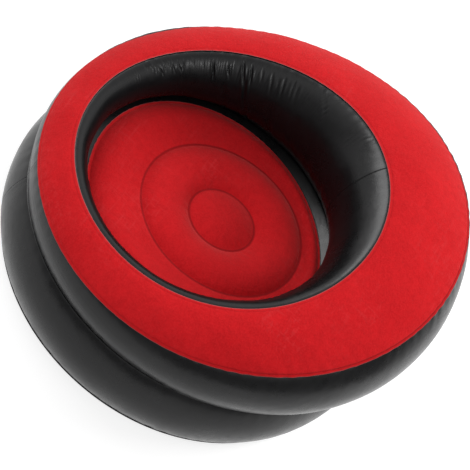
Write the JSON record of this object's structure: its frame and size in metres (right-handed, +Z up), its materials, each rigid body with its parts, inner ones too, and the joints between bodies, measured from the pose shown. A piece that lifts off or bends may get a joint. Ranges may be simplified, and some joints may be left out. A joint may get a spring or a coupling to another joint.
{
  "type": "inflatable chair",
  "caption": "Round inflatable armchair with a flocked seat in a deep well, a wide flocked rim that rises to the back, and plugged air valves.",
  "frame": {"origin": "on the floor, at the centre of the round base", "axes": "+Z up, +Y to the high back, +X to the sitter's left hand side of the back, so -Y is the low front"},
  "size_m": [1.122, 1.1438, 0.5895],
  "materials": {
    "flocked_film": "red flock on vinyl film, matt and velvety",
    "wall_film": "black vinyl film, satin",
    "valve_moulding": "black moulded vinyl, satin",
    "valve_plug": "soft black moulded vinyl, satin"
  },
  "bodies": {
    "chair": {"ring_top_panel": "flocked_film", "ring_outer_wall": "wall_film", "ring_inner_wall": "wall_film", "deck_sheet": "wall_film", "seat_panel": "flocked_film", "base_side_wall": "wall_film", "base_bottom_sheet": "wall_film", "seat_ring_baffle": "wall_film", "seat_button_baffle": "wall_film", "ring_valve_base": "valve_moulding", "base_valve_base": "valve_moulding"},
    "ring_stopper": {"ring_valve_stopper": "valve_plug"},
    "ring_flap": {"ring_valve_flap": "valve_plug"},
    "ring_cap": {"ring_valve_cap": "valve_plug"},
    "base_stopper": {"base_valve_stopper": "valve_plug"},
    "base_flap": {"base_valve_flap": "valve_plug"},
    "base_cap": {"base_valve_cap": "valve_plug"}
  },
  "joints": [
    {"name": "ring_stopper_hinge", "type": "hinge", "parent": "chair", "child": "ring_stopper", "pos_m": [-0.21996, 0.53936, 0.48376], "axis": [0.9033, 0.429, 0], "range_deg": [0, 120]},
    {"name": "ring_cap_hinge", "type": "hinge", "parent": "ring_stopper", "child": "ring_cap", "pos_m": [-0.23683, 0.54225, 0.46176], "axis": [0.1372, -0.2889, 0.9475], "range_deg": [0, 135]},
    {"name": "ring_flap_hinge", "type": "hinge", "parent": "ring_stopper", "child": "ring_flap", "pos_m": [-0.2175, 0.53419, 0.46663], "axis": [-0.9033, -0.429, 0], "range_deg": [0, 55], "stiffness_Nm_per_rad": 0.0002, "springref_deg": -20.05},
    {"name": "base_stopper_hinge", "type": "hinge", "parent": "chair", "child": "base_stopper", "pos_m": [-0.2062, 0.49781, 0.16523], "axis": [0.9239, 0.3827, 0], "range_deg": [0, 120]},
    {"name": "base_cap_hinge", "type": "hinge", "parent": "base_stopper", "child": "base_cap", "pos_m": [-0.22198, 0.49932, 0.1423], "axis": [0.0828, -0.1999, 0.9763], "range_deg": [0, 135]},
    {"name": "base_flap_hinge", "type": "hinge", "parent": "base_stopper", "child": "base_flap", "pos_m": [-0.20332, 0.49085, 0.14882], "axis": [-0.9239, -0.3827, 0], "range_deg": [0, 55], "stiffness_Nm_per_rad": 0.0002, "springref_deg": -20.05}
  ]
}
